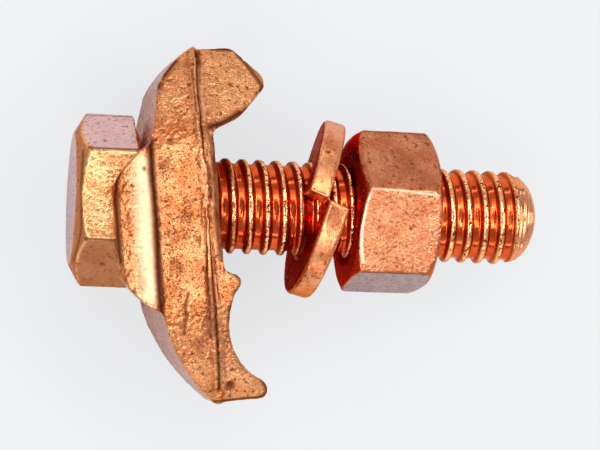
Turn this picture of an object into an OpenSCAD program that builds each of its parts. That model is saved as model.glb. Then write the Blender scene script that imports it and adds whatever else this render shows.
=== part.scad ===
// Single-bolt mechanical grounding connector, copper alloy.
// A forged clamp rocks on a hexagon bolt; a spring lock washer and a hexagon nut close it
// against a flat bar and press a round cable into the hook.
// Frame: bolt axis along +X, origin where that axis meets the bar face, foot toward +Y, +Z up.
// Units are millimetres.

/* [Bolt] */
// thread major diameter
bolt_d = 7.94; // [6.9:0.02:9]
// length under the head
bolt_len = 33.88; // [31.5:0.02:40]
// length of the domed end
end_round = 2.3; // [1.4:0.1:3]
// bevel where the dome meets the thread
end_bevel = 0.22; // [0.1:0.02:0.4]
// width across flats of the head
head_af = 12.37; // [11.6:0.01:14]
// height of the head, bearing collar included
head_h = 5.24; // [4.2:0.02:7]
// turn of the head from flat-up, degrees
head_turn = -2.2; // [-3.5:0.1:3.5]
// height of the bearing collar
collar_h = 0.3; // [0.1:0.05:0.6]
// end face diameter as a part of the width across flats
end_face_ratio = 0.87; // [0.8:0.01:0.95]

/* [Clamp seat] */
// rock of the clamp on the bolt, degrees
clamp_rock = 6.8; // [0:0.1:7]
// hole diameter over the thread diameter
hole_clear = 0.98; // [0.9:0.01:1.6]
// thickness of the web at the bolt
web_t = 5.1; // [4.8:0.05:5.2]
// gap between the head's flat and an ear
ear_clear = 0.25; // [0.2:0.01:0.6]
// thickness of an ear
ear_wall = 1.55; // [1.2:0.05:2.2]
// height of an ear over the seat
ear_reach = 3.2; // [2.4:0.05:4]
// radius of the ear on the +Z side
ear_r = 7.6; // [7.2:0.05:8]
// radius of the ear on the -Z side
low_ear_r = 5.6; // [5:0.05:6]
// step from an ear out to the side face
side_step = 0.5; // [0.2:0.05:0.9]

/* [Clamp outline] */
// reach of the foot from the seat to the bar face
foot_reach = 9.9; // [9.4:0.05:11]
// lower end of the foot's flat land over the bolt axis
land_low = 8.72; // [8.6:0.02:9]
// height of the foot's flat land with its rounded ends
land_h = 0.88; // [0.7:0.02:1.2]
// inner corner of the foot over the bolt axis
throat_y = 5.4; // [5.2:0.05:5.6]
// reach of the hook's tip from the seat
hook_reach = 8.6; // [8.2:0.05:9]
// radius of the cable groove
cable_r = 5.7; // [5.4:0.05:5.9]
// height of the groove's axis under the bolt axis
cable_drop = 10; // [9.8:0.05:10.3]
// depth of the stop nub under the bolt axis
nub_drop = 6.7; // [6.5:0.05:6.9]
// reach of the stop nub from the web
nub_reach = 1.32; // [1.1:0.02:1.5]
// radius of the stop nub's round tip
nub_r = 0.7; // [0.5:0.02:0.9]
// height of the top end over the bolt axis
top_y = 12.6; // [12.4:0.05:13.2]
// depth of the bottom end under the bolt axis
bottom_y = 16.55; // [16.3:0.05:17.5]
// radius of the back below the seat
heel_r = 14.5; // [13.5:0.1:16]
// radius of the back above the seat
crest_r = 7.59; // [7:0.05:8.2]

/* [Clamp forging] */
// seat to the parting line
parting_u = 4.3; // [3.8:0.05:4.5]
// height of the parting line flash
flash = 0.18; // [0.05:0.01:0.3]
// width of the parting line flash
flash_w = 0.65; // [0.3:0.05:1]
// step in from the flash to the front half
die_step = 0.3; // [0.1:0.05:0.5]
// draft of the back half, degrees
back_draft = 4; // [1:0.5:7]
// draft of the front half, degrees
front_draft = 7; // [3:0.5:10]
// radius of the curved side faces, seen along the bolt
side_r = 20; // [18:0.5:30]
// height of the side faces' arc over their flat middle
side_crown = 0.9; // [0.5:0.05:1.2]
// bevel along the back edges
back_bevel = 0.75; // [0.4:0.05:1]

/* [Lock washer] */
// outside diameter
washer_od = 14.8; // [13.6:0.05:15]
// inside diameter over the thread diameter
washer_clear = 0.72; // [0.66:0.01:1.2]
// thickness along the axis
washer_t = 1.85; // [1.4:0.05:1.9]
// bevel of the wire's edges
washer_cut = 0.22; // [0.1:0.02:0.3]
// rise from one split end to the other
washer_rise = 1.82; // [0.8:0.02:1.9]
// place of the split from +Z, degrees
split_at = 4.2; // [0:0.1:10]
// gap at the split, degrees
split_gap = 2.5; // [1:0.5:8]
// slant of the split, degrees for each millimetre of thickness
split_slant = 1.1; // [0:0.1:3]
// lean of the loose ring about Z, degrees
washer_lean = 13.6; // [8:0.1:13.8]
// swing of the loose ring about Y, degrees
washer_swing = 3.5; // [0:0.1:3.6]
// from the ring's middle to the nut's face
washer_stand = 2.47; // [2.42:0.01:3.4]

/* [Nut] */
// width across flats
nut_af = 12.17; // [11.6:0.01:14]
// height
nut_h = 7.04; // [5.5:0.02:8]
// distance from the bar face to the nut
nut_x = 6.97; // [6.7:0.01:8.4]
// turn of the nut from flat-up, degrees
nut_turn = 16.2; // [0:0.1:60]
// bore diameter over the thread diameter
nut_clear = 0.16; // [0.1:0.01:0.4]
// depth of the countersink at both ends of the bore
nut_sink = 0.5; // [0.2:0.05:0.8]
// chamfer circle as a part of the width across flats
nut_face_ratio = 0.925; // [0.88:0.005:0.97]
// stretch of the inner chamfer toward -Y
chamfer_shift = 0.6; // [0:0.05:0.8]

/* [Hidden] */
$fn = 96;
smooth = 240;
quarter_turn = 90;
half_turn = 180;
full_turn = 360;
bolt_r = bolt_d / 2;
collar_r = head_af / 2 * 0.935;
collar_sink = 0.5;
seat_gap = 0.05;
rock_c = cos(clamp_rock);
rock_s = sin(clamp_rock);
pivot_u = web_t / 2;
seat_x = (pivot_u * (1 - rock_c) + collar_r * rock_s + seat_gap) / rock_c;
pivot_from_head = seat_x + pivot_u;
head_x = -(pivot_from_head + (foot_reach - pivot_u) / rock_c);
pivot_x = head_x + pivot_from_head;
hole_r = (bolt_d + hole_clear) / 2;
ear_in = head_af / 2 + ear_clear;
ear_out = ear_in + ear_wall;
ear_base = 0.4;
half_w = ear_out + side_step;
back_u = -0.3;
heel_y = -6;
crest_y = top_y - 6.93;
slope_y = 3.4;
mid_y = (top_y - bottom_y) / 2;
parting_r = 225;
groove_u = web_t + 0.17 + cable_r;
corner_steps = 5;
end_steps = 7;
washer_x = nut_x - washer_stand;
washer_y = 0.05;
washer_z = -0.1;
washer_ri = (bolt_d + washer_clear) / 2;
washer_ro = washer_od / 2;
washer_steps = 84;
big = 80;

// Hexagon along +X with one flat up, as a prism.
module hex_x(af, h) {
    rotate([30, 0, 0])
        rotate([0, 90, 0])
            cylinder(h = h, r = af / sqrt(3), $fn = 6);
}

// Turned blank along +X; each point is distance along the axis, radius.
module turned_x(points) {
    rotate([0, 90, 0])
        rotate_extrude()
            polygon([for (p = points) [p[1], p[0]]]);
}

// Round hole along +X, long enough to pass through.
module hole_x(r) {
    rotate([0, 90, 0])
        cylinder(h = big, r = r, center = true);
}

// Arc at corner i of an outline whose points are [x, y, radius].
function unit(v) = v / norm(v);
function corner_arc(p, i) =
    let (n = len(p),
        here = [p[i][0], p[i][1]],
        last = p[(i + n - 1) % n],
        next = p[(i + 1) % n],
        a = unit([last[0], last[1]] - here),
        b = unit([next[0], next[1]] - here),
        half = acos(a * b) / 2,
        centre = here + unit(a + b) * p[i][2] / sin(half),
        start = here + a * p[i][2] / tan(half) - centre,
        side = sign(a[0] * b[1] - a[1] * b[0]),
        sweep = side * (half_turn - 2 * half))
    p[i][2] == 0 ? [here] : [for (k = [0:corner_steps])
        let (t = -sweep * k / corner_steps)
        centre + [start[0] * cos(t) - start[1] * sin(t), start[0] * sin(t) + start[1] * cos(t)]];

// Outline with its corners rounded by their own radii.
module rounded_outline(points) {
    polygon([for (i = [0:len(points) - 1]) each corner_arc(points, i)]);
}

module hex_bolt() {
    corner = head_af / sqrt(3) + 0.2;
    end_r = head_af / 2 * end_face_ratio;
    crown_h = (corner - end_r) * tan(30);
    under_cut = 0.25;
    dome_x = bolt_len - end_round;
    dome_r = bolt_r - end_bevel;
    dome = [for (k = [0:end_steps])
        let (a = quarter_turn * k / end_steps)
        [dome_x + end_round * sin(a), dome_r * cos(a)]];
    color("#B5683F")
        translate([head_x, 0, 0])
            union() {
                intersection() {
                    translate([-head_h, 0, 0])
                        rotate([head_turn, 0, 0])
                            hex_x(head_af, head_h - collar_h);
                    turned_x([[-head_h, 0], [-head_h, end_r], [-head_h + crown_h, corner],
                        [-collar_h - under_cut, corner], [-collar_h, corner - 2 * under_cut], [-collar_h, 0]]);
                }
                turned_x(concat([[-collar_h - collar_sink, 0], [-collar_h - collar_sink, collar_r],
                    [0, collar_r], [0, bolt_r], [dome_x - end_bevel, bolt_r]], dome));
            }
}

// Everything in front of the parting line, which bows a little toward the ends.
module part_disc(grow) {
    translate([parting_u + parting_r, mid_y])
        circle(r = parting_r + grow, $fn = 3 * smooth);
}

// Back half seen along Z: heel arc, straight slope behind the head and crest arc.
module back_outline() {
    slope = 0.26;
    slope_run = 10;
    difference() {
        intersection() {
            translate([back_u, -bottom_y])
                square([parting_u - back_u + 1.5, top_y + bottom_y]);
            union() {
                translate([back_u + heel_r, heel_y])
                    circle(r = heel_r, $fn = smooth);
                translate([back_u, heel_y])
                    square(big);
            }
            union() {
                translate([back_u + crest_r + 0.61, crest_y])
                    circle(r = crest_r, $fn = smooth);
                translate([back_u, crest_y + 2.3 - big])
                    square(big);
            }
            polygon([[back_u, -big], [back_u, slope_y], [back_u + slope_run * slope, slope_y + slope_run],
                [big, slope_y + slope_run], [big, -big]]);
        }
        part_disc(0);
    }
}

module flash_outline() {
    intersection() {
        back_outline();
        part_disc(flash_w);
    }
}

// Front half seen along Z: foot, web, stop nub, cable groove and hook.
module front_outline() {
    inside = parting_u - 1;
    land_top = land_low + land_h;
    nub_u = web_t + nub_reach - nub_r;
    nub_side = nub_r * cos(half_turn / 4);
    intersection() {
        union() {
            difference() {
                rounded_outline([
                    [inside, top_y - 0.28, 0],
                    [foot_reach - 2.1, top_y - 0.32, 0.9],
                    [foot_reach, land_top, 0.6],
                    [foot_reach, land_low, 0.6],
                    [foot_reach - 2.4, land_low - 2.38, 3],
                    [web_t, throat_y, 0.6],
                    [web_t, -nub_drop + nub_r + 0.4, 0.3],
                    [nub_u, -nub_drop + nub_r, 0],
                    [nub_u, -nub_drop - nub_r, 0],
                    [web_t + 0.7, -nub_drop - 1.05, 0],
                    [groove_u - 3, -cable_drop, 0],
                    [groove_u - 3.2, -cable_drop - 4.55, 0],
                    [hook_reach - 0.15, -cable_drop - 5.3, 0.35],
                    [hook_reach + 0.05, -cable_drop - 5.8, 0.35],
                    [hook_reach - 0.2, -bottom_y + 0.1, 0.4],
                    [inside, -bottom_y + 0.08, 0]]);
                translate([groove_u, -cable_drop])
                    circle(r = cable_r, $fn = smooth);
            }
            translate([nub_u, -nub_drop])
                circle(r = nub_r);
            polygon([[nub_u, -nub_drop], [nub_u + nub_side, -nub_drop - nub_side],
                [web_t + 0.65, -nub_drop - 1.02], [inside, -nub_drop - 1.02]]);
        }
        part_disc(0.05);
    }
}

// Space between the two curved side faces, h over the axis at the parting line.
module side_space(h, draft) {
    intersection_for (m = [0, 1])
        mirror([0, 0, m])
            translate([parting_u, mid_y, 0])
                intersection() {
                    translate([0, 0, h + side_crown - side_r])
                        rotate([0, 90 + draft, 0])
                            cylinder(h = big, r = side_r, center = true, $fn = smooth);
                    translate([0, 0, h])
                        rotate([0, draft, 0])
                            translate([-big / 2, -big / 2, -big])
                                cube(big);
                }
}

// Space inside the bevels along the back edges of both side faces.
module bevel_space(h) {
    bevel_r = 42;
    intersection_for (m = [0, 1])
        mirror([0, 0, m])
            intersection() {
                translate([back_u, mid_y, h + side_crown])
                    rotate([0, 45, 0])
                        translate([0, 0, -bevel_r])
                            cylinder(h = 3 * big, r = bevel_r, center = true, $fn = smooth);
                translate([back_u, mid_y, h])
                    rotate([0, -45, 0])
                        translate([-big, -big, -2 * big])
                            cube(2 * big);
            }
}

// One outline of the clamp as a bar along Z.
module along_z() {
    translate([0, 0, -big / 2])
        linear_extrude(height = big)
            children();
}

// One ear beside the head; its tip leans in.
module ear(disc_r, disc_y) {
    intersection() {
        translate([disc_r - ear_reach - 0.8, disc_y, ear_in])
            cylinder(h = ear_wall, r = disc_r, $fn = smooth);
        translate([0, big / 2, 0])
            rotate([90, 0, 0])
                linear_extrude(height = big)
                    polygon([[ear_base, ear_in], [ear_base, ear_out], [-ear_reach + 1.5, ear_out],
                        [-ear_reach + 0.5, ear_out - 0.35], [-ear_reach, ear_out - 0.9],
                        [-ear_reach, ear_in]]);
    }
}

// Clamp in its own frame: +X is its hole axis, zero on the seat of the bolt head.
module clamp_square() {
    difference() {
        union() {
            intersection() {
                along_z() back_outline();
                side_space(half_w, -back_draft);
                bevel_space(half_w - back_bevel);
            }
            intersection() {
                along_z() flash_outline();
                side_space(half_w + flash, 0);
            }
            intersection() {
                along_z() front_outline();
                side_space(half_w - die_step, front_draft);
            }
            ear(ear_r, -2);
            mirror([0, 0, 1])
                ear(low_ear_r, -0.5);
        }
        translate([back_u - 1, -ear_r - 0.8, -ear_in])
            cube([1 - back_u, 2 * ear_r + 1.8, 2 * ear_in]);
        hole_x(hole_r);
    }
}

module clamp_body() {
    color("#C07A4C")
        translate([pivot_x, 0, 0])
            rotate([0, 0, clamp_rock])
                translate([-pivot_u, 0, 0])
                    clamp_square();
}

// Section of the washer's wire: each point is radius, distance along the axis.
function wire_section() =
    let (h = washer_t / 2)
    [[washer_ri + washer_cut, -h], [washer_ro - washer_cut, -h], [washer_ro, -h + washer_cut],
        [washer_ro, h - washer_cut], [washer_ro - washer_cut, h], [washer_ri + washer_cut, h],
        [washer_ri, h - washer_cut], [washer_ri, -h + washer_cut]];

// Point s of the wire's section at step i of the turn.
function wire_point(i, s) =
    let (share = i / washer_steps,
        turn = split_at + split_gap / 2 + share * (full_turn - split_gap) - split_slant * s[1],
        along = washer_rise * (share - 0.5) + s[1])
    [along, s[0] * sin(turn), s[0] * cos(turn)];

module lock_washer() {
    wire = wire_section();
    n = len(wire);
    points = [for (i = [0:washer_steps]) for (s = wire) wire_point(i, s)];
    sides = [for (i = [0:washer_steps - 1]) for (k = [0:n - 1])
        [i * n + k, (i + 1) * n + k, (i + 1) * n + (k + 1) % n, i * n + (k + 1) % n]];
    first = [for (k = [0:n - 1]) k];
    last = [for (k = [0:n - 1]) washer_steps * n + n - 1 - k];
    color("#B9744A")
        translate([washer_x, washer_y, washer_z])
            rotate([0, -washer_swing, -washer_lean])
                polyhedron(points = points, faces = concat(sides, [first], [last]), convexity = 6);
}

module hex_nut() {
    corner = nut_af / sqrt(3) + 0.1;
    outside = corner + 1;
    face_r = nut_af / 2 * nut_face_ratio;
    mid_r = nut_af / 2 * 1.06;
    cut_h = (corner - face_r) * 0.62;
    bore_r = (bolt_d + nut_clear) / 2;
    color("#BD7A55")
        translate([nut_x, 0, 0])
            difference() {
                intersection() {
                    rotate([nut_turn, 0, 0])
                        hex_x(nut_af, nut_h);
                    union() {
                        for (dy = [0, -chamfer_shift])
                            translate([0, dy, 0])
                                turned_x([[0, 0], [0, face_r], [cut_h * 0.4, mid_r], [cut_h, corner],
                                    [cut_h, outside], [nut_h, outside], [nut_h, 0]]);
                    }
                    turned_x([[0, 0], [0, outside], [nut_h - cut_h, outside], [nut_h - cut_h, corner],
                        [nut_h - cut_h * 0.4, mid_r], [nut_h, face_r], [nut_h, 0]]);
                }
                hole_x(bore_r);
                turned_x([[-1, 0], [-1, bore_r + nut_sink + 1], [nut_sink, bore_r], [nut_sink, 0]]);
                turned_x([[nut_h - nut_sink, 0], [nut_h - nut_sink, bore_r],
                    [nut_h + 1, bore_r + nut_sink + 1], [nut_h + 1, 0]]);
            }
}

hex_bolt();
clamp_body();
lock_washer();
hex_nut();
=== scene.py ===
import math

import bmesh
import bpy
import numpy as np
from mathutils import Matrix, Vector
from mathutils.bvhtree import BVHTree


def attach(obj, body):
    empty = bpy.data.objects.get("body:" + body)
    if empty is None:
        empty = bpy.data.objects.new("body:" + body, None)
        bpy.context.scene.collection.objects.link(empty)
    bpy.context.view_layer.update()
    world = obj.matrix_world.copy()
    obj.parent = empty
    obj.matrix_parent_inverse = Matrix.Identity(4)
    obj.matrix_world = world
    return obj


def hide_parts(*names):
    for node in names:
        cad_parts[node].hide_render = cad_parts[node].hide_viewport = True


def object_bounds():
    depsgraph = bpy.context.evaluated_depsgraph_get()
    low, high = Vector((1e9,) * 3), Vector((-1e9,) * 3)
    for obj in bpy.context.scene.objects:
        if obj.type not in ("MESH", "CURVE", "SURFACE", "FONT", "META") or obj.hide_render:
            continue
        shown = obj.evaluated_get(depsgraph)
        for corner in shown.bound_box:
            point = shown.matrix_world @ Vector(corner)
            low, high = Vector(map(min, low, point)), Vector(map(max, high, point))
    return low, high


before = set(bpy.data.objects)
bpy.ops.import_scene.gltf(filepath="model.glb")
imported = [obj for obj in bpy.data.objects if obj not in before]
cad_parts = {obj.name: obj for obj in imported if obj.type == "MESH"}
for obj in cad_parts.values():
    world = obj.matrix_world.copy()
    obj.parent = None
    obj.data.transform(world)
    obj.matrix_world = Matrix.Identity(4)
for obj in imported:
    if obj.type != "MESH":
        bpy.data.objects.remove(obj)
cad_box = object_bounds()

# Units: shapes are worked in millimetres and handed over in metres.
MM = 0.001

# Image frame that the camera was fitted in, in pixels.
IMAGE_W = 600
IMAGE_H = 450

# Camera: place in mm, its three turns in radians, focal length in pixels, sensor and nearest sight in mm.
CAMERA_AT = Vector((-26.958, -5.500, 165.006))
CAMERA_PITCH = -0.01785
CAMERA_YAW = 0.18145
CAMERA_ROLL = -0.03905
FOCAL_PX = 2011.65
SENSOR_W = 36.0
NEAREST = 1.0

# Floor: half its side in metres, clouds in the paper to the metre, and the share of its paleness
# that doesn't depend on shadow.
FLOOR_HALF = 1.5
PAPER_CLOUDS = 60.0
FLOOR_GLOW = 0.82

# Tones of the room by height, from the horizon up, and the background that the camera sees.
ROOM_TONES = ((0.02, "#686462"), (0.14, "#AEACAA"), (0.34, "#D2D2D2"), (0.62, "#B6B6B6"),
              (0.9, "#BABABA"), (0.975, "#8E8E8E"))
BACKGROUND = "#ECEEF0"

# Lights: name, place and size in metres, and power in watts.
LIGHTS = (("upper_core", (-0.07, 0.120, 0.362), (0.42, 0.075), 0.45),
          ("lower_core", (-0.13, -0.156, 0.346), (0.32, 0.075), 0.45),
          ("upper_softbox", (-0.06, 0.200, 0.325), (0.44, 0.20), 0.26),
          ("lower_softbox", (-0.13, -0.225, 0.305), (0.32, 0.20), 0.25),
          ("upper_tube", (0.17, 0.116, 0.360), (0.20, 0.022), 0.30),
          ("lower_tube", (0.17, -0.116, 0.360), (0.20, 0.022), 0.30),
          ("right_panel", (0.19, 0.0, 0.364), (0.18, 0.18), 0.07),
          ("upper_strip", (0.0, 0.385, 0.108), (0.40, 0.02), 0.14),
          ("lower_strip", (0.02, -0.390, 0.070), (0.40, 0.05), 0.17),
          ("left_softbox", (-0.330, 0.0, 0.250), (0.10, 0.30), 0.04),
          ("right_softbox", (0.340, 0.0, 0.200), (0.16, 0.30), 0.26))
LIGHT_COLOUR = "#FFFFFF"

# Bolt sizes in mm: plane under the head, thread of 5/16 inch with 18 turns to the inch.
UNDER_HEAD = -10.710
BOLT_LENGTH = 33.88
THREAD_R = 3.955
THREAD_DEPTH = 0.42
INCH = 25.4
TURNS_TO_INCH = 18
PITCH = INCH / TURNS_TO_INCH
CREST_FROM_HEAD = 7.685
FIRST_CREST = UNDER_HEAD + CREST_FROM_HEAD
RUN_OUT = 9.0
DOME_LENGTH = 2.3
DOME_R = 3.745
STUB = 0.6

# Thread form from root to crest: place along the pitch, and height from 0 to 1.
THREAD_FORM = ((0.1, 0.004), (0.19, 0.032), (0.25, 0.22), (0.36, 0.84), (0.42, 0.97), (0.47, 1.0))
# Power of the form that picks out its crest alone.
CREST_POWER = 7.0

# Torn metal on the crests: size and height in mm, and the noise level that is neither raised nor sunk.
TEAR_SIZE = 0.25
TEAR_HEIGHT = 0.12
TEAR_LEVEL = 0.62

# Length of the walk over the bolt's dome for each mm of its radius.
DOME_WALK = 1.3

# Rings from turning on the dome, step and height in mm: drawn coarser than a usual feed, so that they show.
RING_STEP = 0.5
RING_HEIGHT = 0.05

# Points along and around the threaded bar, few enough to keep the bolt under 200,000 triangles.
BAR_ROWS = 572
BAR_COLUMNS = 104

# Nut's inner thread in mm: radius of its bore, height of the ridge, and how far up the countersinks
# it fades out.
BORE_R = 4.05
NUT_RIDGE = 0.36
RIDGE_FADE = 0.3

# Painted shadow of the clamp: the thread is darker red beside it up to this x, fading over this length in
# mm.
CLAMP_SHADOW_END = -1.2
CLAMP_SHADOW_FADE = 3.0

# Marks are laid along the photo's pixels in steps of this many pixels, and only where the surface
# faces the camera by more than this cosine.
MARK_STEP = 1.0
MARK_FACING = 0.3

# Voxel sizes in mm for the softened solids, rounds of smoothing, and the share moved in each round.
CLAMP_VOXEL = 0.138
HEAD_VOXEL = 0.12
NUT_VOXEL = 0.12
WASHER_VOXEL = 0.11
CLAMP_ROUNDS = 5
HEAD_ROUNDS = 8
NUT_ROUNDS = 8
WASHER_ROUNDS = 5
SMOOTH_SHARE = 0.5

# Points nearer to each other than the first are one, and the bar closes under the second, in mm.
MERGE_GAP = 1e-4
AXIS_GAP = 1e-3

# Tints: width of a band's soft edge, and a cosine that no face reaches, for a band with no upper edge.
TINT_FADE = 0.05
NO_EDGE = 1.1

# Skin: middle of the noise, a pit's rim and floor as shares of the spacing, and rounds of averaging
# that tell an edge from a flat.
NOISE_MID = 0.5
PIT_RIM = 0.3
PIT_FLOOR = 0.12
EDGE_ROUNDS = 8

# Colour of copper's reflections at a grazing angle, and of those on a side with the painted sheen.
WARM_GRAZE = "#F0B894"
PAINTED_SHEEN_GRAZE = "#FFFFFF"


def linear(code):
    """Turn an sRGB hex colour into the linear colour that shaders take."""
    values = []
    for place in (1, 3, 5):
        part = int(code[place:place + 2], 16) / 255
        values.append(part / 12.92 if part <= 0.04045 else ((part + 0.055) / 1.055) ** 2.4)
    return (*values, 1.0)


def add(tree, kind, settings=(), inputs=()):
    """Add a node, set it up, and link or set each of its inputs."""
    node = tree.nodes.new(kind)
    for name, value in dict(settings).items():
        setattr(node, name, value)
    for name, value in dict(inputs).items():
        if isinstance(value, bpy.types.Node):
            value = value.outputs[0]
        if isinstance(value, bpy.types.NodeSocket):
            tree.links.new(value, node.inputs[name])
        else:
            node.inputs[name].default_value = value
    return node


# Camera, floor and light

def camera_turn():
    """Rotation from the row frame to the camera's own axes."""
    pitch = Matrix.Rotation(CAMERA_PITCH, 3, "X")
    yaw = Matrix.Rotation(CAMERA_YAW, 3, "Y")
    roll = Matrix.Rotation(CAMERA_ROLL, 3, "Z")
    return pitch @ yaw @ roll


def set_camera():
    """Stand the camera where the photo was taken from."""
    data = bpy.data.cameras.new("photo_camera")
    data.sensor_fit = "HORIZONTAL"
    data.sensor_width = SENSOR_W
    data.lens = FOCAL_PX * SENSOR_W / IMAGE_W
    data.clip_start = NEAREST * MM
    camera = bpy.data.objects.new("photo_camera", data)
    bpy.context.collection.objects.link(camera)
    turn = camera_turn().transposed().to_4x4()
    camera.matrix_world = Matrix.Translation(CAMERA_AT * MM) @ turn
    bpy.context.scene.camera = camera


def sight_line(u, v):
    """Direction of the sight line through a pixel of the photo."""
    ray = Vector((u - IMAGE_W / 2, IMAGE_H / 2 - v, -FOCAL_PX))
    return (camera_turn().transposed() @ ray).normalized()


def softbox(name, place, size, power):
    """Hang a rectangular softbox that faces the part."""
    data = bpy.data.lights.new(name, "AREA")
    data.shape = "RECTANGLE"
    data.size = size[0]
    data.size_y = size[1]
    data.energy = power
    data.color = linear(LIGHT_COLOUR)[:3]
    light = bpy.data.objects.new(name, data)
    bpy.context.collection.objects.link(light)
    facing = (Vector((0, 0, 0)) - Vector(place)).to_track_quat("-Z", "Y")
    light.matrix_world = Matrix.Translation(place) @ facing.to_matrix().to_4x4()


def set_stage():
    """Lay a pale paper floor under the part and light it softly."""
    # Matt white paper: even and pale with faint clouds, and it keeps a soft shadow under the part.
    paper = bpy.data.materials.new("matt_white_paper")
    paper.use_nodes = True
    tree = paper.node_tree
    tree.nodes.clear()
    place = add(tree, "ShaderNodeTexCoord")
    cloud = add(tree, "ShaderNodeTexNoise",
                inputs={"Vector": place.outputs["Object"], "Scale": PAPER_CLOUDS})
    tone = add(tree, "ShaderNodeValToRGB", inputs={"Fac": cloud})
    tone.color_ramp.elements[0].color = linear("#EBEDEF")
    tone.color_ramp.elements[1].color = linear("#EDEFF1")
    ray = add(tree, "ShaderNodeLightPath")
    share = add(tree, "ShaderNodeMath", {"operation": "MULTIPLY"},
                {0: ray.outputs["Is Camera Ray"], 1: FLOOR_GLOW})
    lit = add(tree, "ShaderNodeBsdfDiffuse", inputs={"Color": linear("#D4D6D8")})
    pale = add(tree, "ShaderNodeEmission", inputs={"Color": tone, "Strength": 1.0})
    surface = add(tree, "ShaderNodeMixShader", inputs={0: share, 1: lit, 2: pale})
    add(tree, "ShaderNodeOutputMaterial", inputs={"Surface": surface})
    low = cad_box[0][2]
    mesh = bpy.data.meshes.new("paper_floor")
    corners = [(-FLOOR_HALF, -FLOOR_HALF, low), (FLOOR_HALF, -FLOOR_HALF, low),
               (FLOOR_HALF, FLOOR_HALF, low), (-FLOOR_HALF, FLOOR_HALF, low)]
    mesh.from_pydata(corners, [], [(0, 1, 2, 3)])
    mesh.materials.append(paper)
    floor = bpy.data.objects.new("paper_floor", mesh)
    bpy.context.collection.objects.link(floor)

    # The room is dim near the horizon, brightest about 20 degrees up and darker straight overhead.
    # The camera sees it pale.
    world = bpy.data.worlds.new("studio_room")
    world.use_nodes = True
    tree = world.node_tree
    tree.nodes.clear()
    way = add(tree, "ShaderNodeTexCoord")
    up = add(tree, "ShaderNodeSeparateXYZ", inputs={0: way.outputs["Generated"]})
    room = add(tree, "ShaderNodeValToRGB", inputs={"Fac": up.outputs["Z"]})
    for height, tone in ROOM_TONES:
        stop = room.color_ramp.elements.new(height)
        stop.color = linear(tone)
    room.color_ramp.elements.remove(room.color_ramp.elements[-1])
    room.color_ramp.elements.remove(room.color_ramp.elements[0])
    ray = add(tree, "ShaderNodeLightPath")
    tone = add(tree, "ShaderNodeMix", {"data_type": "RGBA"},
               {0: ray.outputs["Is Camera Ray"], 6: room, 7: linear(BACKGROUND)})
    sky = add(tree, "ShaderNodeBackground", inputs={"Color": tone.outputs[2], "Strength": 1.0})
    add(tree, "ShaderNodeOutputWorld", inputs={"Surface": sky})
    bpy.context.scene.world = world

    for name, spot, size, power in LIGHTS:
        softbox(name, spot, size, power)
    bpy.context.scene.view_settings.view_transform = "Standard"


# Shapes

def plain_copy(node):
    """Merged copy of a CAD node's mesh in mm."""
    shape = bmesh.new()
    shape.from_mesh(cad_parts[node].data)
    shape.transform(Matrix.Scale(1 / MM, 4))
    bmesh.ops.remove_doubles(shape, verts=shape.verts, dist=MERGE_GAP)
    return shape


def softened(name, shape, voxel, rounds):
    """Remesh a solid evenly and let its edges round off, as tumbling does."""
    mesh = bpy.data.meshes.new(name)
    shape.to_mesh(mesh)
    shape.free()
    holder = bpy.data.objects.new(name, mesh)
    bpy.context.collection.objects.link(holder)
    remesh = holder.modifiers.new("even_mesh", "REMESH")
    remesh.mode = "VOXEL"
    remesh.voxel_size = voxel
    relax = holder.modifiers.new("rounded_edges", "SMOOTH")
    relax.factor = SMOOTH_SHARE
    relax.iterations = rounds
    graph = bpy.context.evaluated_depsgraph_get()
    result = bpy.data.meshes.new_from_object(holder.evaluated_get(graph))
    bpy.data.objects.remove(holder)
    return result


def press_marks(mesh, marks):
    """Press grooves that the photo shows into the near side, and note painted shade and darkening, and
    painted highlight and wear, along the marks.
    """
    skin = BVHTree.FromPolygons([v.co for v in mesh.vertices], [p.vertices for p in mesh.polygons])
    count = len(mesh.vertices)
    place = np.zeros(count * 3)
    normal = np.zeros(count * 3)
    mesh.vertices.foreach_get("co", place)
    mesh.vertices.foreach_get("normal", normal)
    place = place.reshape(count, 3)
    normal = normal.reshape(count, 3)
    shade_and_darkening = np.zeros(count)
    painted_highlight_and_wear = np.zeros(count)
    for pixels, half_width, depth, darkening_share, shine in marks:
        path = []
        for (u0, v0), (u1, v1) in zip(pixels, pixels[1:]):
            steps = max(1, math.ceil(math.hypot(u1 - u0, v1 - v0) / MARK_STEP))
            for i in range(steps + 1):
                share = i / steps
                sight = sight_line(u0 + (u1 - u0) * share, v0 + (v1 - v0) * share)
                hit = skin.ray_cast(CAMERA_AT, sight)
                if hit[0] is not None and -hit[1].dot(sight) > MARK_FACING:
                    path.append(np.array(hit[0]))
        apart = np.full(count, np.inf)
        for spot in path:
            apart = np.minimum(apart, np.linalg.norm(place - spot, axis=1))
        near = np.clip(1 - apart / half_width, 0, 1)
        near = near * near * (3 - 2 * near)
        place = place - normal * (near * depth)[:, None]
        shade_and_darkening = np.maximum(shade_and_darkening, near * darkening_share)
        painted_highlight_and_wear = np.maximum(painted_highlight_and_wear, near * shine)
    mesh.vertices.foreach_set("co", place.reshape(-1))
    mesh.attributes.new("shade_and_darkening", "FLOAT", "POINT").data.foreach_set("value", shade_and_darkening)
    mesh.attributes.new("painted_highlight_and_wear", "FLOAT", "POINT").data.foreach_set("value", painted_highlight_and_wear)
    mesh.update()


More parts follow.
